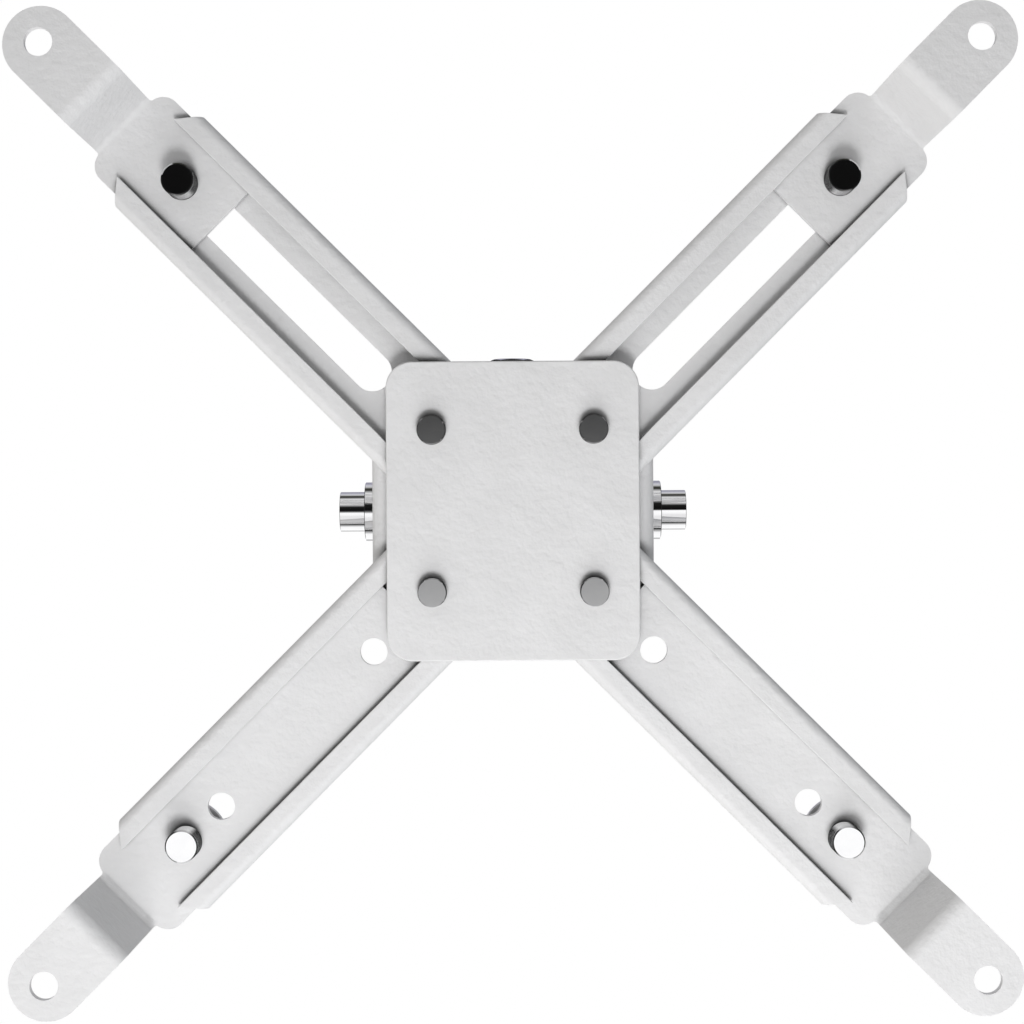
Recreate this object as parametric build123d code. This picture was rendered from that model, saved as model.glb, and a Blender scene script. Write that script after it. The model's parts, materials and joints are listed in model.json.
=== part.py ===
from build123d import *
import math
import os

# A ceiling mount for a projector, folded from painted steel sheet and held by zinc-plated bolts.
# Millimetres, +Z up. The origin is the centre of the face that lies against the ceiling, and
# everything hangs below it. Front is -Y: the two arms with the short slide plates point there.
# Chain of movement: the upper yoke swivels about Z under the ceiling plate, the gimbal ring rolls
# about Y in the yoke, the hub bracket tilts about X on the ring, each of the four arms swings
# about its hub bolt, and a slide plate travels along the inside of each arm.

# Clearances and travel
FACE_GAP = 0.2          # between flat faces that turn on each other
SIDE_GAP = 0.3          # between the gimbal ring and the legs beside it
SLIDE_GAP = 0.3         # all round a slide plate inside its channel
PIN_GAP = 0.05          # radial, a hole that turns on its bolt
BOLT_GAP = 0.2          # radial, a plain hole round a bolt that is clamped in it
THREAD_GAP = 0.03       # radial, a bolt in the thread that it is screwed into
TRAVEL_IN = 3.5         # how far a long slide plate moves towards its hub bolt
TRAVEL_OUT = 3.5        # how far every slide plate moves outwards
STOP_GAP = 0.65         # left between a slide plate or its bolt and what would stop it

# Ceiling plate with its pressed cup
CEILING_WIDTH = 62.0
CEILING_LENGTH = 74.0
CEILING_CORNER = 8.0
CEILING_SHEET = 2.5
CEILING_BEND = 1.5
CUP_RADIUS = 18.0
CUP_FLARE = 4.0
CUP_DEPTH = 12.0
SCREW_SPACING_X = 44.0
SCREW_SPACING_Y = 58.0
SCREW_HOLE_DIAMETER = 5.5

# Swivel bolt through the cup and the upper yoke
SWIVEL_DIAMETER = 8.0
SWIVEL_FLATS = 13.0
SWIVEL_HEAD = 5.3
SWIVEL_NUT = 8.0
SWIVEL_WASHER_DIAMETER = 16.0
SWIVEL_WASHER = 1.6

# Upper yoke, legs at front and rear
YOKE_SHEET = 2.5
YOKE_BEND = 1.0
YOKE_SPAN = 64.8
YOKE_WIDTH = 28.0
YOKE_END_RADIUS = 10.0
PIVOT_DROP = 36.0       # from the ceiling to the crossing of the tilt and roll axes

# Roll bolt, front to rear through the yoke and the ring
PIVOT_DIAMETER = 6.0
PIVOT_FLATS = 10.0
ROLL_HEAD = 4.0
ROLL_NUT = 3.2
ROLL_WASHER_DIAMETER = 12.0
ROLL_WASHER = 1.6

# Gimbal ring and the tilt screws that enter it from left and right
RING_SHEET = 2.5
RING_CORNER = 5.0
RING_HEIGHT = 13.0
TILT_HEAD_DIAMETER = 10.0
TILT_HEAD = 6.3
TILT_EDGE = 0.1
TILT_LENGTH = 14.0
TILT_SOCKET_FLATS = 5.0
TILT_SOCKET_DEPTH = 3.2
TILT_WASHER_DIAMETER = 14.8
TILT_WASHER = 2.65
TILT_NUT = 5.0

# Hub bracket, legs at left and right
BRACKET_SHEET = 2.5
BRACKET_BEND = 1.0
BRACKET_SPAN = 68.1
BRACKET_WIDTH = 56.0
BRACKET_END_RADIUS = 12.0
BRACKET_DROP = 22.0     # from the pivot axes to the lower face of the bracket's base

# Hub plate and hub bolts
HUB_WIDTH = 60.0
HUB_LENGTH = 71.0
HUB_CORNER = 6.2
HUB_SHEET = 2.0
HUB_EDGE = 0.4
HUB_BOLT_SPACING = 38.4
HUB_BOLT_DIAMETER = 6.8
HUB_BOLT_FLATS = 11.0
HUB_BOLT_HEAD = 4.8
HUB_BOLT_PROUD = 3.0
HUB_BOLT_END = 0.15

# Arm: a lipped channel, open downwards
ARM_WIDTH = 30.0
ARM_SHEET = 1.8
ARM_BEND = 0.6
ARM_MOUTH = 19.0
ARM_EDGE = 0.25
ARM_TAIL = 10.0         # inboard of the hub bolt
ARM_TIP = 8.45          # from the centre of the slot's outer end to the arm's end
ARM_MITRE = 4.5
SLOT_WIDTH = 9.3
SLOT_START = 20.25      # from the hub bolt to the centre of the slot's inner end

# Slide plate: ears inside the channel, a steep step down and a round drilled foot
SLIDE_SHEET = 2.0
SLIDE_BEND = 1.5
EAR_END = 19.0          # from the clamp bolt
EAR_CORNER = 4.4
NECK_FILLET = 0.8
TONGUE_WIDTH = 17.65
STEP_START = 20.1       # from the clamp bolt
STEP_ANGLE = 80.0
STEP_DROP = 21.3
FOOT_REACH = 41.5       # from the clamp bolt to the foot's hole
FOOT_HOLE_DIAMETER = 6.6
TIP_SETBACK = 0.95      # from the centre of the foot's round end out to its hole
SHORT_TAIL = 12.7       # inboard of the clamp bolt, front plates
SPARE_HOLE_DIAMETER = 6.5
SPARE_HOLE_OFFSETS = (12.1, 63.9)   # inboard of the clamp bolt, rear plates

# Clamp bolt of each slide plate
CLAMP_REACH = 84.0      # from the hub bolt to the clamp bolt
CLAMP_DIAMETER = 7.8
CLAMP_FLATS = 13.0
CLAMP_HEAD = 5.3
CLAMP_PROUD = 7.1
CLAMP_WASHER_DIAMETER = 18.8
CLAMP_WASHER = 1.6

# Bolt heads and ends
HEAD_TURN = 25.0        # slope of the cone that turns off a hexagon's corners, in degrees
HEAD_FACE = 0.95        # diameter of the turned face, as a share of the width across flats
END_CHAMFER = 0.4
WASHER_EDGE = 0.15

# Heights, from the ceiling down
cup_floor_z = -CUP_DEPTH
yoke_z = cup_floor_z - FACE_GAP
swivel_washer_z = yoke_z - YOKE_SHEET - FACE_GAP
swivel_nut_z = swivel_washer_z - SWIVEL_WASHER
pivot_z = -PIVOT_DROP
bracket_z = pivot_z - BRACKET_DROP
bracket_top_z = bracket_z + BRACKET_SHEET
arm_z = bracket_z - FACE_GAP
web_z = arm_z - ARM_SHEET
slide_top_z = web_z - SLIDE_GAP
slide_z = slide_top_z - SLIDE_SHEET
arm_height = 2 * ARM_SHEET + SLIDE_SHEET + 2 * SLIDE_GAP
hub_top_z = arm_z - arm_height - FACE_GAP
hub_z = hub_top_z - HUB_SHEET

# Widths and lengths that follow from their neighbours
ring_width = BRACKET_SPAN - 2 * BRACKET_SHEET - 2 * SIDE_GAP
ring_length = YOKE_SPAN - 2 * YOKE_SHEET - 2 * SIDE_GAP
ear_width = ARM_WIDTH - 2 * ARM_SHEET - 2 * SLIDE_GAP
slot_end = CLAMP_REACH + TRAVEL_OUT + STOP_GAP - (SLOT_WIDTH - CLAMP_DIAMETER) / 2
arm_end = slot_end + ARM_TIP
long_tail = CLAMP_REACH - HUB_BOLT_DIAMETER / 2 - TRAVEL_IN - STOP_GAP

# Each corner's hub bolt, as signs of X and Y, with the heading of its arm in degrees
CORNERS = {
    "front_left": (-1, -1, 225),
    "front_right": (1, -1, 315),
    "rear_left": (-1, 1, 135),
    "rear_right": (1, 1, 45),
}


def rod(diameter, top, length):
    """Upright cylinder on the Z axis that hangs down from the height top."""
    return Pos(0, 0, top - length / 2) * Cylinder(diameter / 2, length)


def through(diameter, gap, height, reach=4 * YOKE_SHEET):
    """Cutter for a round hole on the Z axis, centred on a height."""
    return Pos(0, 0, height) * Cylinder(diameter / 2 + gap, reach)


def rounded(face, points, radius):
    """Flat outline with the corners at these points rounded."""
    corners = [v for v in face.vertices() for p in points if abs(v.X - p[0]) + abs(v.Y - p[1]) < 0.01]
    return fillet(corners, radius)


def corner_radius(flats):
    """Distance from a hexagon's centre to its corners."""
    return flats / math.sqrt(3)


def hexagon(flats, height):
    """Hexagon standing on Z = 0, a corner on X, with its upper corners turned off."""
    corner = corner_radius(flats)
    face_r = HEAD_FACE * flats / 2
    drop = (corner - face_r) * math.tan(math.radians(HEAD_TURN))
    blank = rod(2 * corner, height - drop, height - drop)
    blank += Pos(0, 0, height - drop / 2) * Cone(corner, face_r, drop)
    return extrude(RegularPolygon(corner, 6), height) & blank


def shank(diameter, length, end=END_CHAMFER):
    """Bolt's shank below Z = 0, with a chamfered end."""
    body = rod(diameter, 0, length)
    return chamfer(body.edges().sort_by(Axis.Z)[0], end)


def hex_bolt(diameter, length, flats, head, end=END_CHAMFER):
    """Bolt with its head standing on Z = 0 and its shank below."""
    return hexagon(flats, head) + shank(diameter, length, end)


def nut(diameter, flats, height):
    """Nut standing on Z = 0."""
    return hexagon(flats, height) - through(diameter, THREAD_GAP, height / 2, 2 * height)


def washer(outer, inner, thickness):
    """Flat ring standing on Z = 0 with softened outer edges."""
    ring = chamfer(rod(outer, thickness, thickness).edges().filter_by(GeomType.CIRCLE), WASHER_EDGE)
    return ring - through(inner, BOLT_GAP, thickness / 2, 2 * thickness)


def folded_yoke(span, width, sheet, bend, pivot, end_radius, hole, gap):
    """Sheet folded to a U: base on Z = 0, legs up at each end of X, round about the pivot holes."""
    leg = pivot + end_radius
    outer = rounded(Pos(0, leg / 2) * Rectangle(span, leg),
                    [(-span / 2, 0), (span / 2, 0)], bend + sheet)
    inside = span / 2 - sheet
    inner = rounded(Pos(0, sheet + leg / 2) * Rectangle(2 * inside, leg),
                    [(-inside, sheet), (inside, sheet)], bend)
    strip = extrude(Plane.XZ * (outer - inner), width / 2, both=True)
    shoulder = sheet + bend + sheet
    base = Pos(0, shoulder / 2) * Rectangle(width, shoulder)
    eye = Pos(0, pivot) * Circle(end_radius)
    side = make_hull(base.edges() + eye.edges())
    yoke = strip & extrude(Plane.YZ * side, span / 2, both=True)
    return yoke - Pos(0, 0, pivot) * Rot(0, 90, 0) * Cylinder(hole / 2 + gap, 2 * span)


def cup_section():
    """Half section of the pressed cup and the flat rim round it."""
    slope = CUP_FLARE / (CUP_DEPTH - CEILING_SHEET)
    wall = CEILING_SHEET * math.sqrt(1 + slope ** 2)
    top_r = CUP_RADIUS + CUP_FLARE
    rim_r = top_r + CEILING_BEND + 2 * CEILING_SHEET
    floor_in = (CUP_RADIUS + slope * CEILING_SHEET - wall, cup_floor_z + CEILING_SHEET)
    floor_out = (CUP_RADIUS, cup_floor_z)
    rim_in = (top_r + slope * CEILING_SHEET - wall, 0)
    rim_out = (top_r, -CEILING_SHEET)
    section = Polygon(
        (0, cup_floor_z), floor_out, rim_out, (rim_r, -CEILING_SHEET), (rim_r, 0), rim_in, floor_in,
        (0, cup_floor_z + CEILING_SHEET), align=None)
    section = rounded(section, [floor_in, rim_out], CEILING_BEND)
    return rounded(section, [floor_out, rim_in], CEILING_BEND + CEILING_SHEET)


def ceiling_plate():
    """Flat plate with a round cup pressed into it that hides the swivel bolt's head."""
    plate = extrude(RectangleRounded(CEILING_WIDTH, CEILING_LENGTH, CEILING_CORNER), -CEILING_SHEET)
    cup = revolve(Plane.XZ * cup_section(), Axis.Z)
    hollow = through(2 * (CUP_RADIUS + CUP_FLARE + CEILING_BEND + CEILING_SHEET), 0, 0)
    plate = plate - hollow + cup
    plate -= through(SWIVEL_DIAMETER, BOLT_GAP, cup_floor_z)
    holes = GridLocations(SCREW_SPACING_X, SCREW_SPACING_Y, 2, 2)
    return plate - holes * Cylinder(SCREW_HOLE_DIAMETER / 2, 4 * CEILING_SHEET)


def swivel_parts():
    """Bolt, washer and locking nut that hang the yoke from the cup."""
    seat = cup_floor_z + CEILING_SHEET
    length = seat - swivel_nut_z + SWIVEL_NUT + 2 * END_CHAMFER
    return {
        "swivel_bolt": Pos(0, 0, seat) * hex_bolt(SWIVEL_DIAMETER, length, SWIVEL_FLATS, SWIVEL_HEAD),
        "swivel_washer": Pos(0, 0, swivel_nut_z) * washer(
            SWIVEL_WASHER_DIAMETER, SWIVEL_DIAMETER, SWIVEL_WASHER),
        "swivel_nut": Pos(0, 0, swivel_nut_z) * Rot(180, 0, 0) * nut(
            SWIVEL_DIAMETER, SWIVEL_FLATS, SWIVEL_NUT),
    }


def upper_yoke():
    """Yoke that hangs from the swivel bolt, legs down at front and rear."""
    drop = yoke_z - pivot_z
    yoke = folded_yoke(
        YOKE_SPAN, YOKE_WIDTH, YOKE_SHEET, YOKE_BEND, drop, YOKE_END_RADIUS, PIVOT_DIAMETER, BOLT_GAP)
    yoke = Pos(0, 0, yoke_z) * Rot(0, 0, 90) * Rot(180, 0, 0) * yoke
    return yoke - through(SWIVEL_DIAMETER, PIN_GAP, yoke_z)


def roll_parts():
    """Long bolt through the yoke and the ring, head to the front, nut to the rear."""
    half = YOKE_SPAN / 2
    length = YOKE_SPAN + 2 * ROLL_WASHER + ROLL_NUT
    bolt = hex_bolt(PIVOT_DIAMETER, length, PIVOT_FLATS, ROLL_HEAD)
    ring = washer(ROLL_WASHER_DIAMETER, PIVOT_DIAMETER, ROLL_WASHER)
    front = Pos(0, 0, pivot_z) * Rot(90, 0, 0)
    rear = Pos(0, 0, pivot_z) * Rot(-90, 0, 0)
    return {
        "roll_bolt": front * Pos(0, 0, half + ROLL_WASHER) * bolt,
        "front_roll_washer": front * Pos(0, 0, half) * ring,
        "rear_roll_washer": rear * Pos(0, 0, half) * ring,
        "roll_nut": rear * Pos(0, 0, half + ROLL_WASHER) * nut(PIVOT_DIAMETER, PIVOT_FLATS, ROLL_NUT),
    }


def gimbal_ring():
    """Flat strip bent to a rectangular ring, drilled for the roll bolt and the tilt screws."""
    band = RectangleRounded(ring_width, ring_length, RING_CORNER)
    band -= RectangleRounded(
        ring_width - 2 * RING_SHEET, ring_length - 2 * RING_SHEET, RING_CORNER - RING_SHEET)
    ring = extrude(band, RING_HEIGHT / 2, both=True)
    ring -= Rot(90, 0, 0) * Cylinder(PIVOT_DIAMETER / 2 + PIN_GAP, 2 * ring_length)
    ring -= Rot(0, 90, 0) * Cylinder(PIVOT_DIAMETER / 2 + BOLT_GAP, 2 * ring_width)
    return Pos(0, 0, pivot_z) * ring


def tilt_screw():
    """Cylinder-head screw with a hexagon socket, head on Z = 0 and shank below."""
    head = rod(TILT_HEAD_DIAMETER, TILT_HEAD, TILT_HEAD)
    head = chamfer(head.edges().sort_by(Axis.Z)[-1], TILT_EDGE)
    socket = extrude(RegularPolygon(corner_radius(TILT_SOCKET_FLATS), 6), TILT_SOCKET_DEPTH)
    return head - Pos(0, 0, TILT_HEAD - TILT_SOCKET_DEPTH) * socket + shank(PIVOT_DIAMETER, TILT_LENGTH)


def tilt_parts():
    """Screw, thick washer and welded nut on each side of the ring."""
    leg = BRACKET_SPAN / 2 + FACE_GAP
    ring = washer(TILT_WASHER_DIAMETER, PIVOT_DIAMETER, TILT_WASHER)
    weld_nut = nut(PIVOT_DIAMETER, PIVOT_FLATS, TILT_NUT)
    parts = {}
    for side, angle in (("left", -90), ("right", 90)):
        place = Pos(0, 0, pivot_z) * Rot(0, angle, 0)
        inside = place * Pos(0, 0, ring_width / 2 - RING_SHEET) * Rot(180, 0, 0)
        parts[side + "_tilt_screw"] = place * Pos(0, 0, leg + TILT_WASHER) * tilt_screw()
        parts[side + "_tilt_washer"] = place * Pos(0, 0, leg) * ring
        parts[side + "_tilt_nut"] = inside * weld_nut
    return parts


def hub_bolt_places():
    """Where each corner's hub bolt stands, in X and Y, with the arm's heading."""
    half = HUB_BOLT_SPACING / 2
    return {name: Pos(x * half, y * half) * Rot(0, 0, turn) for name, (x, y, turn) in CORNERS.items()}


def hub_bracket():
    """Yoke that carries the hub, legs up at left and right on the tilt screws."""
    bracket = Pos(0, 0, bracket_z) * folded_yoke(
        BRACKET_SPAN, BRACKET_WIDTH, BRACKET_SHEET, BRACKET_BEND, BRACKET_DROP, BRACKET_END_RADIUS,
        PIVOT_DIAMETER, PIN_GAP)
    for place in hub_bolt_places().values():
        bracket -= place * through(HUB_BOLT_DIAMETER, BOLT_GAP, bracket_z)
    return bracket


def hub_plate():
    """Flat plate below the arms that the four hub bolts are screwed into."""
    plate = extrude(Pos(0, 0, hub_z) * RectangleRounded(HUB_WIDTH, HUB_LENGTH, HUB_CORNER), HUB_SHEET)
    rims = plate.edges().group_by(Axis.Z)
    plate = fillet(rims[0] + rims[-1], HUB_EDGE)
    for place in hub_bolt_places().values():
        plate -= place * through(HUB_BOLT_DIAMETER, THREAD_GAP, hub_z)
    return plate


def hub_bolts():
    """Bolts from the bracket's base through the arms into the hub plate."""
    length = bracket_top_z - hub_z + HUB_BOLT_PROUD
    bolt = hex_bolt(HUB_BOLT_DIAMETER, length, HUB_BOLT_FLATS, HUB_BOLT_HEAD, HUB_BOLT_END)
    bolt = Pos(0, 0, bracket_top_z) * bolt
    return {name + "_hub_bolt": place * bolt for name, place in hub_bolt_places().items()}


def arm_section():
    """Section of the lipped channel, its web on Y = 0 and its mouth below."""
    centre = Pos(0, -arm_height / 2)
    section = centre * RectangleRounded(ARM_WIDTH, arm_height, ARM_BEND + ARM_SHEET)
    section -= centre * RectangleRounded(
        ARM_WIDTH - 2 * ARM_SHEET, arm_height - 2 * ARM_SHEET, ARM_BEND)
    section -= Pos(0, -arm_height) * Rectangle(ARM_MOUTH, arm_height)
    lips = [(side * ARM_MOUTH / 2, y)
            for side in (-1, 1) for y in (-arm_height, ARM_SHEET - arm_height)]
    return rounded(section, lips, ARM_EDGE)


def arm():
    """Channel along X from its hub bolt, with a long slot in its web and a clipped outer end."""
    length = ARM_TAIL + arm_end
    rail = extrude(Plane.YZ.offset(-ARM_TAIL) * arm_section(), length)
    clip = ARM_MOUTH / 2
    half = ARM_WIDTH / 2
    plan = Polygon(
        (-ARM_TAIL, -half), (arm_end - ARM_MITRE, -half), (arm_end, -clip), (arm_end, clip),
        (arm_end - ARM_MITRE, half), (-ARM_TAIL, half), align=None)
    rail &= extrude(plan, -arm_height)
    slot = Pos((SLOT_START + slot_end) / 2, 0) * SlotCenterToCenter(slot_end - SLOT_START, SLOT_WIDTH)
    rail -= extrude(slot, ARM_SHEET + SLIDE_GAP, both=True)
    return Pos(0, 0, arm_z) * (rail - through(HUB_BOLT_DIAMETER, PIN_GAP, 0, 4 * ARM_SHEET))


def slide_profile(tail):
    """Side view of a slide plate: tongue on Y = 0, a steep step down and the foot."""
    turn = math.radians(STEP_ANGLE)
    shift = SLIDE_SHEET * math.tan(turn / 2)
    foot_start = STEP_START + STEP_DROP / math.tan(turn)
    foot_end = FOOT_REACH - TIP_SETBACK + TONGUE_WIDTH / 2
    foot_top = SLIDE_SHEET - STEP_DROP
    profile = Polygon(
        (-tail, 0), (STEP_START, 0), (foot_start, -STEP_DROP), (foot_end, -STEP_DROP),
        (foot_end, foot_top), (foot_start + shift, foot_top), (STEP_START + shift, SLIDE_SHEET),
        (-tail, SLIDE_SHEET), align=None)
    profile = rounded(profile, [(STEP_START, 0), (foot_start + shift, foot_top)], SLIDE_BEND)
    return rounded(profile, [(foot_start, -STEP_DROP), (STEP_START + shift, SLIDE_SHEET)],
                   SLIDE_BEND + SLIDE_SHEET)


def slide_plan(tail):
    """Plan of a slide plate: wide ears, a narrow neck and a round end."""
    ears = Pos((EAR_END - tail) / 2, 0) * Rectangle(EAR_END + tail, ear_width)
    ears = rounded(ears, [(EAR_END, side * ear_width / 2) for side in (-1, 1)], EAR_CORNER)
    reach = FOOT_REACH - TIP_SETBACK
    neck = Pos(reach / 2, 0) * Rectangle(reach, TONGUE_WIDTH)
    plan = ears + neck + Pos(reach, 0) * Circle(TONGUE_WIDTH / 2)
    corners = [v for v in plan.vertices() if abs(abs(v.Y) - TONGUE_WIDTH / 2) < 0.01 and v.X <= EAR_END]
    return fillet(corners, NECK_FILLET)


def slide_plate(tail, spare_offsets):
    """Slide plate along X from its clamp bolt, with its lower face at the height of the tongue."""
    sheet = extrude(Plane.XZ * slide_profile(tail), ear_width / 2, both=True)
    plate = sheet & extrude(Pos(0, 0, -STEP_DROP) * slide_plan(tail), STEP_DROP + SLIDE_SHEET)
    plate -= Pos(FOOT_REACH, 0) * through(FOOT_HOLE_DIAMETER, 0, -STEP_DROP)
    plate -= through(CLAMP_DIAMETER, THREAD_GAP, 0)
    for offset in spare_offsets:
        plate -= Pos(-offset, 0) * through(SPARE_HOLE_DIAMETER, 0, 0)
    return Pos(0, 0, slide_z) * plate


def arm_parts():
    """Every arm with its slide plate, clamp bolt and washer, turned to its corner."""
    seat = arm_z + FACE_GAP
    length = seat + CLAMP_WASHER - slide_z + CLAMP_PROUD
    bolt = Pos(0, 0, seat + CLAMP_WASHER) * hex_bolt(CLAMP_DIAMETER, length, CLAMP_FLATS, CLAMP_HEAD)
    ring = Pos(0, 0, seat) * washer(CLAMP_WASHER_DIAMETER, CLAMP_DIAMETER, CLAMP_WASHER)
    plates = {"front": slide_plate(SHORT_TAIL, ()), "rear": slide_plate(long_tail, SPARE_HOLE_OFFSETS)}
    channel = arm()
    parts = {}
    for name, place in hub_bolt_places().items():
        clamp = place * Pos(CLAMP_REACH, 0)
        parts[name + "_arm"] = place * channel
        parts[name + "_slide"] = clamp * plates[name.split("_")[0]]
        parts[name + "_clamp_bolt"] = clamp * bolt
        parts[name + "_clamp_washer"] = clamp * ring
    return parts


def all_parts():
    """Every piece of the mount by its node name."""
    parts = {"ceiling_plate": ceiling_plate(), "upper_yoke": upper_yoke(), "gimbal_ring": gimbal_ring()}
    parts.update(hub_bracket=hub_bracket(), hub_plate=hub_plate())
    for group in (swivel_parts(), roll_parts(), tilt_parts(), hub_bolts(), arm_parts()):
        parts.update(group)
    return parts


os.makedirs("parts", exist_ok=True)
for node, solid in all_parts().items():
    export_step(solid, f"parts/{node}.step")
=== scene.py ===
import bmesh
import bpy
import json
import math
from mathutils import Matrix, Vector


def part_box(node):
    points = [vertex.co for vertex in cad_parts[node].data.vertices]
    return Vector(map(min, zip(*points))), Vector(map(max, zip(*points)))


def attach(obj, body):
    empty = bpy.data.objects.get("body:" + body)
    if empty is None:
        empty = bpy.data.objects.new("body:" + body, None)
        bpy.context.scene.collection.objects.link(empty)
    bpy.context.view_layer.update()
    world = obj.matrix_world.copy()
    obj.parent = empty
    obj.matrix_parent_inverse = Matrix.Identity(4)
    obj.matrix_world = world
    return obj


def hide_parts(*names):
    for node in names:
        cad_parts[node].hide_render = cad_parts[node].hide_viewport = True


# The looks of a white ceiling mount for a projector, seen from straight below.
# Metres, in the frame of the solids: +Z up to the ceiling, the short slide plates towards -Y.

MM = 0.001
CORNERS = ("front_left", "front_right", "rear_left", "rear_right")

# Camera: it looks straight up, and the top of the picture is -Y
PICTURE_WIDTH = 1024
FOCAL_PIXELS = 2095.0
SENSOR_WIDTH = 36.0
CAMERA_BELOW_CEILING = 562.3 * MM
CAMERA_OFFSET = (-0.24 * MM, 0.26 * MM)
CAMERA_ROLL = math.radians(0.36)

# Meshes: width of the rounded edges of painted sheet and of bolt heads, and angles of edges
PAINT_EDGE = 0.28 * MM
BOLT_EDGE = 0.12 * MM
SHARP_ANGLE = math.radians(32)
FLAT_ANGLE = math.radians(1.0)
MERGE_DISTANCE = 0.002 * MM

# Bolts: radius and depth of the thread, its pitch, height of the head, chamfer of the end
CLAMP_BOLT = (3.9 * MM, 0.68 * MM, 1.25 * MM, 5.3 * MM, 0.32 * MM)
HUB_BOLT = (3.4 * MM, 0.55 * MM, 1.0 * MM, 4.8 * MM, 0.12 * MM)

# One turn of a thread: shares of the pitch along the bolt, and of the depth below the crest
THREAD_SHAPE = ((0.0, 1), (0.12, 1), (0.5, 0), (0.62, 0), (1.0, 1))
THREAD_SEGMENTS = 48

# Below the head, in pitches: top of the thread and end of the plain shank, which overlap
THREAD_TOP = 0.25
SHANK_END = 0.5

# Above the end face, in chamfers: lower end of the thread and top of the turned tip, which overlap
THREAD_BOTTOM = 1.2
TIP_TOP = 1.5

# A face that looks down has a normal with a lower Z than this
DOWNWARD = -0.99

# Lamps: place, width and watts; both look at the hub
HUB = (0, 0, -70 * MM)
KEY_LAMP = ((0, 250 * MM, -550 * MM), 130 * MM, 1.42)
LOW_LAMP = ((0, 760 * MM, -540 * MM), 570 * MM, 2.6)

# Light of the room on paint; the upper light fades in between these heights of a direction
LEFT_LIGHT = (0.70, 0.68, 0.645, 1)
RIGHT_LIGHT = (0.165, 0.185, 0.21, 1)
UPPER_LIGHT = (0.95, 0.95, 0.95, 1)
UPPER_FADE = (0.1, 0.7)

# What bright metal mirrors: degrees from straight below, positive towards +Y, and a colour
MIRROR_BANDS = tuple((degrees, (level, level, level * tint)) for degrees, level, tint in (
    (-180, 0.90, 1.0), (-170, 0.30, 1.2), (-140, 0.30, 1.2), (-124, 0.55, 1.1), (-113, 0.50, 1.0),
    (-103, 0.04, 0.8), (-92, 0.04, 0.9), (-85, 0.35, 1.0), (-75, 0.75, 1.0), (-66, 0.55, 1.0),
    (-56, 0.85, 1.0), (-44, 0.75, 1.0), (-36, 0.25, 1.0), (-28, 0.012, 1.0), (-7, 0.004, 1.0),
    (-2.3, 0.06, 1.0), (2.3, 0.34, 1.0), (7, 1.0, 1.0), (17, 0.95, 1.0), (26, 0.80, 1.0),
    (52, 0.80, 1.0), (61, 0.40, 1.0), (68, 0.03, 1.0), (78, 0.04, 1.0), (87, 0.40, 1.0),
    (98, 0.95, 1.0), (132, 1.0, 1.0), (146, 0.40, 1.0), (155, 0.55, 1.0), (164, 0.95, 1.0),
    (180, 1.0, 1.0)))
MIRROR_STRENGTH = 1.1

# Left and right of the bands it mirrors a dark room, which fades in over these sideways directions
MIRROR_SIDES = (0.02, 0.02, 0.02, 1)
SIDES_FADE = (0.35, 0.65)

# Floor: half its width, its height, its colour in the light and the colour that the camera sees
FLOOR_HALF_WIDTH = 2500 * MM
FLOOR_HEIGHT = -1400 * MM
FLOOR_DULL = (0.44, 0.44, 0.44, 1)
FLOOR_SEEN = (0.98, 0.98, 0.98, 1)

# Paint: its two shades with the noise value at which each is pure, and its range of roughness
PAINT_SHADES = ((0.3, (0.735, 0.733, 0.738, 1)), (0.7, (0.775, 0.773, 0.779, 1)))
PAINT_ROUGHNESS = (0.40, 0.58)

# Paint's noise, in waves to a metre, and the height of its peel and grain
CLOUD_WAVES = 90
PEEL_WAVES = 520
GRAIN_WAVES = 2600
PEEL_HEIGHT = 0.26 * MM
GRAIN_HEIGHT = 0.03 * MM

# Shadow painted into the paint's colour in corners and beside parts, on their side away from the lamps
# at +Y: its colour, the reach and lean of the test, and the openness from dark to light
CORNER_PAINTED_SHADOW = (0.03, 0.03, 0.03, 1)
CORNER_REACH = 3.5 * MM
CORNER_LEAN = 0.75
CORNER_OPENNESS = (0.36, 0.68)

# Zinc plate's noise, in waves to a metre, the height of its grain and the blue in its dark tone
ZINC_CLOUD_WAVES = 300
ZINC_GRAIN_WAVES = 3000
ZINC_GRAIN_HEIGHT = 0.01 * MM
ZINC_BLUE = 1.02

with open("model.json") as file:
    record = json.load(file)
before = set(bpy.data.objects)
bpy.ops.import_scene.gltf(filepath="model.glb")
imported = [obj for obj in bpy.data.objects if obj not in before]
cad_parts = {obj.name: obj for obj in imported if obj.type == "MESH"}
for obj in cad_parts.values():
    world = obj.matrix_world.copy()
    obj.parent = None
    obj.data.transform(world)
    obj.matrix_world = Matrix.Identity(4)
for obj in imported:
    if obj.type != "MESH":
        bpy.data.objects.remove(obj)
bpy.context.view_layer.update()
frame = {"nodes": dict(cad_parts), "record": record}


def new_piece(name, bm):
    """Makes an object of a bmesh, smooth apart from its sharp edges."""
    for edge in bm.edges:
        edge.smooth = edge.calc_face_angle(math.pi) < SHARP_ANGLE
    for face in bm.faces:
        face.smooth = True
    mesh = bpy.data.meshes.new(name)
    bm.to_mesh(mesh)
    bm.free()
    piece = bpy.data.objects.new(name, mesh)
    bpy.context.scene.collection.objects.link(piece)
    return piece


def node_body(node):
    """Name of the body that a node belongs to."""
    bodies = frame["record"]["behaviour"]["bodies"]
    return next(body for body, nodes in bodies.items() if node in nodes)


def dress(piece, node, materials):
    """Puts a piece in the place of a node, with its materials, on the node's body."""
    for material in materials:
        piece.data.materials.append(material)
    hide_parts(node)
    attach(piece, node_body(node))


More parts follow.
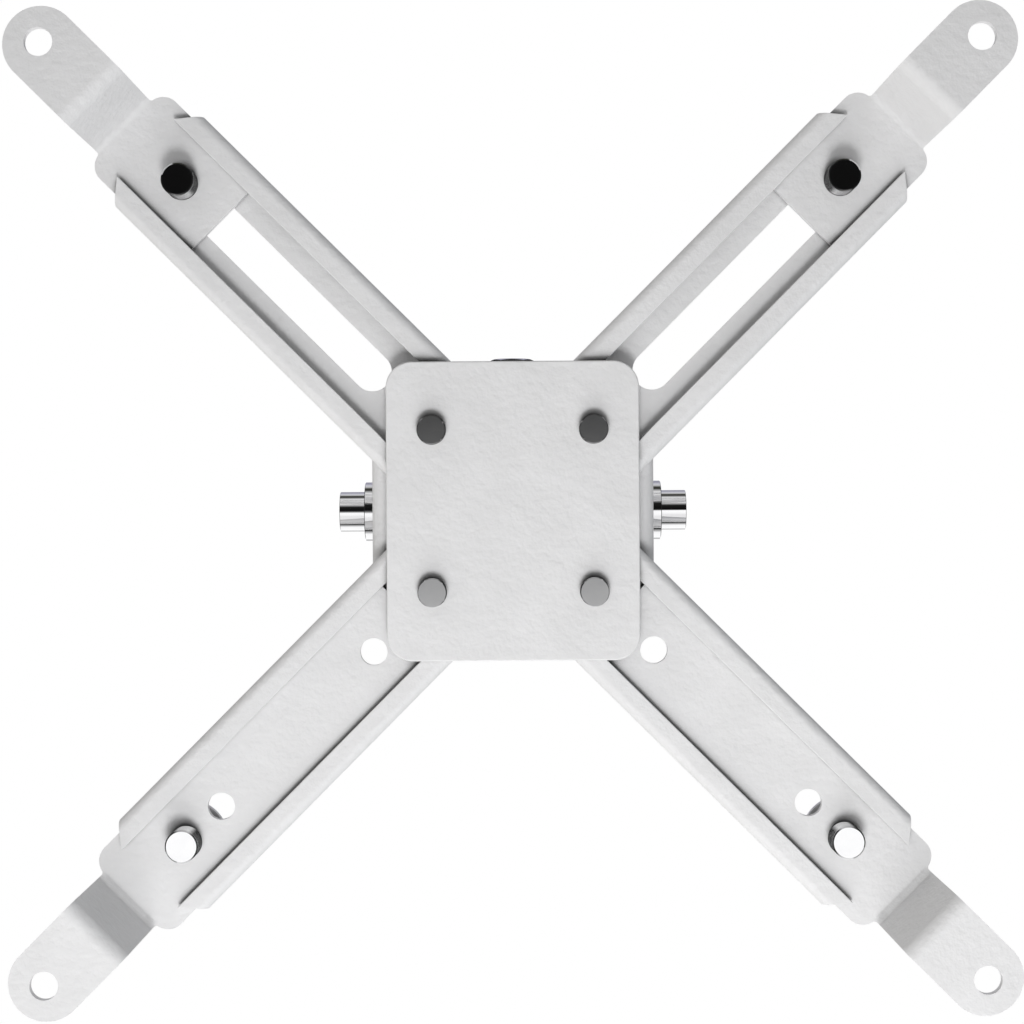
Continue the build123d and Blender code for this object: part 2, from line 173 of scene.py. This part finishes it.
def cad_copy(node):
    """Mesh of a node with its triangles joined to flat faces."""
    bm = bmesh.new()
    bm.from_mesh(frame["nodes"][node].data)
    bmesh.ops.remove_doubles(bm, verts=bm.verts, dist=MERGE_DISTANCE)
    bmesh.ops.dissolve_limit(
        bm, angle_limit=FLAT_ANGLE, verts=bm.verts, edges=bm.edges, use_dissolve_boundaries=False)
    return bm


def soften(bm, width):
    """Rounds every sharp edge."""
    sharp = [e for e in bm.edges if len(e.link_faces) == 2 and e.calc_face_angle(0) > SHARP_ANGLE]
    bmesh.ops.bevel(
        bm, geom=sharp, offset=width, offset_type="OFFSET", segments=2, profile=0.5,
        affect="EDGES", clamp_overlap=True, material=-1)


def painted_sheet(node, material):
    """Painted copy of a folded or flat node, with rounded edges."""
    bm = cad_copy(node)
    soften(bm, PAINT_EDGE)
    piece = new_piece(node + "_painted", bm)
    shading = piece.modifiers.new("flat_faces", "WEIGHTED_NORMAL")
    shading.keep_sharp = True
    dress(piece, node, [material])


def cut(bm, height, side):
    """Cuts away what lies on one side of a height (1 above, -1 below) and closes the cut."""
    bmesh.ops.bisect_plane(
        bm, geom=bm.verts[:] + bm.edges[:] + bm.faces[:], dist=MERGE_DISTANCE / 10,
        plane_co=(0, 0, height), plane_no=(0, 0, side), clear_outer=True)
    rim = [e for e in bm.edges
           if e.is_boundary and all(abs(v.co.z - height) < MERGE_DISTANCE for v in e.verts)]
    bmesh.ops.holes_fill(bm, edges=rim, sides=0)


def lathe(bm, profile, steps):
    """Turned body about the Z axis from a profile of (radius, height) that starts and ends on it."""
    verts = [bm.verts.new((r, 0, z)) for r, z in profile]
    edges = [bm.edges.new(pair) for pair in zip(verts, verts[1:])]
    bmesh.ops.spin(
        bm, geom=verts + edges, cent=(0, 0, 0), axis=(0, 0, 1), angle=2 * math.pi, steps=steps,
        use_merge=True)
    bmesh.ops.remove_doubles(bm, verts=bm.verts, dist=MERGE_DISTANCE)


def join(bm, other, material_index):
    """Adds another bmesh to this one, with a material index, and frees it."""
    for face in other.faces:
        face.material_index = material_index
    mesh = bpy.data.meshes.new("part")
    other.to_mesh(mesh)
    other.free()
    bm.from_mesh(mesh)
    bpy.data.meshes.remove(mesh)


def thread(radius, depth, pitch, top, bottom):
    """Closed rod with a right-hand thread between two heights."""
    bm = bmesh.new()
    start = bottom - 2 * pitch
    turns = math.ceil((top - start) / pitch) + 1
    verts = [bm.verts.new((radius - deep * depth, 0, start + share * pitch))
             for share, deep in THREAD_SHAPE]
    edges = [bm.edges.new(pair) for pair in zip(verts, verts[1:])]
    bmesh.ops.spin(
        bm, geom=verts + edges, cent=(0, 0, 0), axis=(0, 0, 1), angle=2 * math.pi * turns,
        steps=turns * THREAD_SEGMENTS, dvec=(0, 0, pitch / THREAD_SEGMENTS), use_merge=False)
    bmesh.ops.remove_doubles(bm, verts=bm.verts, dist=MERGE_DISTANCE)
    cut(bm, top, 1)
    cut(bm, bottom, -1)
    return bm


def hex_bolt(name, node, sizes, bright, rougher):
    """Upright hexagon bolt in the place of a node: bright head and end face, rougher thread."""
    radius, depth, pitch, head, end = sizes
    low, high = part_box(node)
    centre = (low + high) / 2
    seat = high.z - head
    bm = cad_copy(node)
    bmesh.ops.translate(bm, verts=bm.verts, vec=(-centre.x, -centre.y, 0))
    cut(bm, seat - SHANK_END * pitch, -1)
    soften(bm, BOLT_EDGE)
    for face in bm.faces:
        face.material_index = 0
    rod = thread(radius, depth, pitch, seat - THREAD_TOP * pitch, low.z + THREAD_BOTTOM * end)
    join(bm, rod, 1)
    tip = bmesh.new()
    tip_top = low.z + TIP_TOP * end
    lathe(tip, ((0, low.z), (radius - end, low.z), (radius, low.z + end), (radius, tip_top),
                (0, tip_top)), THREAD_SEGMENTS)
    join(bm, tip, 1)
    bmesh.ops.recalc_face_normals(bm, faces=bm.faces)
    for face in bm.faces:
        if face.normal.z < DOWNWARD and face.calc_center_median().z < low.z + end / 2:
            face.material_index = 0
    bmesh.ops.translate(bm, verts=bm.verts, vec=(centre.x, centre.y, 0))
    dress(new_piece(name, bm), node, [bright, rougher])


def node_tree(name):
    """Empty node material and its tree."""
    material = bpy.data.materials.new(name)
    material.use_nodes = True
    material.node_tree.nodes.clear()
    return material, material.node_tree


def add(tree, kind, **values):
    """Adds a shader node and sets its sockets, or else its properties, by name."""
    node = tree.nodes.new(kind)
    for key, value in values.items():
        sockets = [s for s in node.inputs if s.name.lower().replace(" ", "_") == key]
        if sockets:
            sockets[0].default_value = value
        else:
            setattr(node, key, value)
    return node


def noise(tree, place, waves, detail):
    """Noise texture on object coordinates, in waves to a metre."""
    node = add(tree, "ShaderNodeTexNoise", scale=waves, detail=detail)
    tree.links.new(place.outputs["Object"], node.inputs["Vector"])
    return node.outputs["Fac"]


def fade(tree, value, first, last):
    """From 0 to 1 as a value goes from one number to another."""
    node = add(tree, "ShaderNodeMapRange", from_min=first, from_max=last)
    tree.links.new(value, node.inputs["Value"])
    return node.outputs["Result"]


def spread(tree, value, low, high):
    """Maps a 0 to 1 value onto a range."""
    node = add(tree, "ShaderNodeMapRange", to_min=low, to_max=high)
    tree.links.new(value, node.inputs["Value"])
    return node.outputs["Result"]


def mix_colours(tree, share, first, second):
    """Mixes two colours by a share; each is a plain colour or the output of a node."""
    mix = add(tree, "ShaderNodeMix", data_type="RGBA")
    tree.links.new(share, mix.inputs[0])
    for socket, colour in ((mix.inputs[6], first), (mix.inputs[7], second)):
        if isinstance(colour, tuple):
            socket.default_value = colour
        else:
            tree.links.new(colour, socket)
    return mix.outputs[2]


def corner_shade(tree):
    """Mask of the painted shadow: from 0 in a corner to 1 in the open, as seen from a direction leant
    towards +Y, where the lamps stand.
    """
    shape = add(tree, "ShaderNodeNewGeometry")
    tilt = add(tree, "ShaderNodeVectorMath", operation="ADD")
    tilt.inputs[1].default_value = (0, CORNER_LEAN, 0)
    tree.links.new(shape.outputs["True Normal"], tilt.inputs[0])
    unit = add(tree, "ShaderNodeVectorMath", operation="NORMALIZE")
    tree.links.new(tilt.outputs["Vector"], unit.inputs[0])
    opening = add(tree, "ShaderNodeAmbientOcclusion", samples=8, distance=CORNER_REACH)
    tree.links.new(unit.outputs["Vector"], opening.inputs["Normal"])
    return fade(tree, opening.outputs["AO"], *CORNER_OPENNESS)


def powder_coat():
    """White satin powder coat with an orange-peel surface, with shadow painted dark into its corners and
    beside parts.
    """
    material, tree = node_tree("white_powder_coat")
    place = add(tree, "ShaderNodeTexCoord")
    shader = add(tree, "ShaderNodeBsdfPrincipled", ior=1.5)
    out = add(tree, "ShaderNodeOutputMaterial")
    clouds = noise(tree, place, CLOUD_WAVES, 3)
    peel = noise(tree, place, PEEL_WAVES, 2.5)
    fine = noise(tree, place, GRAIN_WAVES, 1)
    tint = add(tree, "ShaderNodeValToRGB")
    for element, (position, shade) in zip(tint.color_ramp.elements, PAINT_SHADES):
        element.position = position
        element.color = shade
    tree.links.new(clouds, tint.inputs["Fac"])
    # Painted shadow: the base colour goes dark in corners and beside parts, on their side away from the
    # lamps
    painted_shadow_colour = mix_colours(tree, corner_shade(tree), CORNER_PAINTED_SHADOW, tint.outputs["Color"])
    tree.links.new(painted_shadow_colour, shader.inputs["Base Color"])
    tree.links.new(spread(tree, peel, *PAINT_ROUGHNESS), shader.inputs["Roughness"])
    deep = add(tree, "ShaderNodeBump", strength=1.0, distance=PEEL_HEIGHT)
    tree.links.new(peel, deep.inputs["Height"])
    grain = add(tree, "ShaderNodeBump", strength=0.12, distance=GRAIN_HEIGHT)
    tree.links.new(fine, grain.inputs["Height"])
    tree.links.new(deep.outputs["Normal"], grain.inputs["Normal"])
    tree.links.new(grain.outputs["Normal"], shader.inputs["Normal"])
    tree.links.new(shader.outputs["BSDF"], out.inputs["Surface"])
    return material


def zinc_plate(name, tones, roughness):
    """Zinc plate on bolts, nuts and washers, with its darkest and lightest tone and roughness."""
    dark, light = tones
    material, tree = node_tree(name)
    place = add(tree, "ShaderNodeTexCoord")
    shader = add(tree, "ShaderNodeBsdfPrincipled", metallic=1.0)
    out = add(tree, "ShaderNodeOutputMaterial")
    clouds = noise(tree, place, ZINC_CLOUD_WAVES, 3)
    grain = noise(tree, place, ZINC_GRAIN_WAVES, 2)
    tint = add(tree, "ShaderNodeValToRGB")
    tint.color_ramp.elements[0].color = (dark, dark, ZINC_BLUE * dark, 1)
    tint.color_ramp.elements[1].color = (light, light, light, 1)
    tree.links.new(clouds, tint.inputs["Fac"])
    tree.links.new(tint.outputs["Color"], shader.inputs["Base Color"])
    tree.links.new(spread(tree, clouds, *roughness), shader.inputs["Roughness"])
    bump = add(tree, "ShaderNodeBump", strength=0.05, distance=ZINC_GRAIN_HEIGHT)
    tree.links.new(grain, bump.inputs["Height"])
    tree.links.new(bump.outputs["Normal"], shader.inputs["Normal"])
    tree.links.new(shader.outputs["BSDF"], out.inputs["Surface"])
    return material


def make_camera():
    """Camera straight below the hub, its top towards the front of the mount."""
    data = bpy.data.cameras.new("camera")
    data.sensor_width = SENSOR_WIDTH
    data.lens = FOCAL_PIXELS / PICTURE_WIDTH * SENSOR_WIDTH
    data.clip_start = 10 * MM
    camera = bpy.data.objects.new("camera", data)
    camera.location = (*CAMERA_OFFSET, -CAMERA_BELOW_CEILING)
    camera.rotation_euler = (math.pi, 0, CAMERA_ROLL)
    bpy.context.scene.collection.objects.link(camera)
    bpy.context.scene.camera = camera


def area_lamp(name, place, width, power):
    """Soft square lamp that looks at the hub."""
    data = bpy.data.lights.new(name, "AREA")
    data.size = width
    data.energy = power
    lamp = bpy.data.objects.new(name, data)
    lamp.location = place
    direction = Vector(HUB) - Vector(place)
    lamp.rotation_euler = direction.to_track_quat("-Z", "Y").to_euler()
    lamp.visible_camera = False
    lamp.visible_glossy = False
    bpy.context.scene.collection.objects.link(lamp)


def mirrored_room(tree, direction):
    """Room that bright metal mirrors: bands across, dark at both sides."""
    split = add(tree, "ShaderNodeSeparateXYZ")
    tree.links.new(direction, split.inputs["Vector"])
    down = add(tree, "ShaderNodeMath", operation="MULTIPLY")
    down.inputs[1].default_value = -1
    tree.links.new(split.outputs["Z"], down.inputs[0])
    angle = add(tree, "ShaderNodeMath", operation="ARCTAN2")
    tree.links.new(split.outputs["Y"], angle.inputs[0])
    tree.links.new(down.outputs["Value"], angle.inputs[1])
    bands = add(tree, "ShaderNodeValToRGB")
    elements = bands.color_ramp.elements
    for element, (degrees, colour) in zip(elements, (MIRROR_BANDS[0], MIRROR_BANDS[-1])):
        element.position = (degrees + 180) / 360
        element.color = (*colour, 1)
    for degrees, colour in MIRROR_BANDS[1:-1]:
        elements.new((degrees + 180) / 360).color = (*colour, 1)
    tree.links.new(fade(tree, angle.outputs["Value"], -math.pi, math.pi), bands.inputs["Fac"])
    aside = add(tree, "ShaderNodeMath", operation="ABSOLUTE")
    tree.links.new(split.outputs["X"], aside.inputs[0])
    sides = fade(tree, aside.outputs["Value"], *SIDES_FADE)
    return mix_colours(tree, sides, bands.outputs["Color"], MIRROR_SIDES)


def room_light(tree, direction):
    """Light of the room on paint: warm from the left, weak and cool from the right, white from above."""
    split = add(tree, "ShaderNodeSeparateXYZ")
    tree.links.new(direction, split.inputs["Vector"])
    across = fade(tree, split.outputs["X"], -1, 1)
    level = mix_colours(tree, across, LEFT_LIGHT, RIGHT_LIGHT)
    above = fade(tree, split.outputs["Z"], *UPPER_FADE)
    return mix_colours(tree, above, level, UPPER_LIGHT)


def make_world():
    """White to the camera, a striped studio to metal and a soft room to paint."""
    world = bpy.data.worlds.new("studio")
    bpy.context.scene.world = world
    world.use_nodes = True
    tree = world.node_tree
    tree.nodes.clear()
    place = add(tree, "ShaderNodeTexCoord")
    path = add(tree, "ShaderNodeLightPath")
    mirror = add(tree, "ShaderNodeBackground", strength=MIRROR_STRENGTH)
    tree.links.new(mirrored_room(tree, place.outputs["Generated"]), mirror.inputs["Color"])
    room = add(tree, "ShaderNodeBackground")
    tree.links.new(room_light(tree, place.outputs["Generated"]), room.inputs["Color"])
    white = add(tree, "ShaderNodeBackground", color=(1, 1, 1, 1))
    dull_or_mirror = add(tree, "ShaderNodeMixShader")
    tree.links.new(path.outputs["Is Glossy Ray"], dull_or_mirror.inputs["Fac"])
    tree.links.new(room.outputs["Background"], dull_or_mirror.inputs[1])
    tree.links.new(mirror.outputs["Background"], dull_or_mirror.inputs[2])
    seen = add(tree, "ShaderNodeMixShader")
    tree.links.new(path.outputs["Is Camera Ray"], seen.inputs["Fac"])
    tree.links.new(dull_or_mirror.outputs["Shader"], seen.inputs[1])
    tree.links.new(white.outputs["Background"], seen.inputs[2])
    out = add(tree, "ShaderNodeOutputWorld")
    tree.links.new(seen.outputs["Shader"], out.inputs["Surface"])


def make_floor():
    """Plain pale floor far below the mount."""
    bm = bmesh.new()
    bmesh.ops.create_grid(bm, x_segments=1, y_segments=1, size=FLOOR_HALF_WIDTH)
    bmesh.ops.translate(bm, verts=bm.verts, vec=(0, 0, FLOOR_HEIGHT))
    floor = new_piece("floor", bm)
    material, tree = node_tree("pale_floor")
    path = add(tree, "ShaderNodeLightPath")
    dull = add(tree, "ShaderNodeBsdfDiffuse", color=FLOOR_DULL)
    pale = add(tree, "ShaderNodeEmission", color=FLOOR_SEEN)
    mix = add(tree, "ShaderNodeMixShader")
    out = add(tree, "ShaderNodeOutputMaterial")
    tree.links.new(path.outputs["Is Camera Ray"], mix.inputs["Fac"])
    tree.links.new(dull.outputs["BSDF"], mix.inputs[1])
    tree.links.new(pale.outputs["Emission"], mix.inputs[2])
    tree.links.new(mix.outputs["Shader"], out.inputs["Surface"])
    floor.data.materials.append(material)
    floor.visible_glossy = False


bpy.context.scene.view_settings.view_transform = "Standard"
make_camera()
area_lamp("key", *KEY_LAMP)
area_lamp("low", *LOW_LAMP)
make_world()
make_floor()
paint = powder_coat()
zinc = zinc_plate("bright_zinc_plate", tones=(0.86, 0.95), roughness=(0.03, 0.09))
thread_zinc = zinc_plate("zinc_thread", tones=(0.60, 0.85), roughness=(0.08, 0.16))
satin_zinc = zinc_plate("satin_zinc_plate", tones=(0.80, 0.92), roughness=(0.45, 0.60))
for node, cad in frame["nodes"].items():
    slot = next(s["material_slot"] for s in frame["record"]["subparts"] if s["node"] == node)
    if slot == "painted_steel":
        painted_sheet(node, paint)
    else:
        cad.data.materials.clear()
        cad.data.materials.append(satin_zinc if node.endswith("clamp_washer") else zinc)
for corner in CORNERS:
    hex_bolt(corner + "_clamp_bolt_threaded", corner + "_clamp_bolt", CLAMP_BOLT, zinc, thread_zinc)
    hex_bolt(corner + "_hub_bolt_threaded", corner + "_hub_bolt", HUB_BOLT, zinc, thread_zinc)
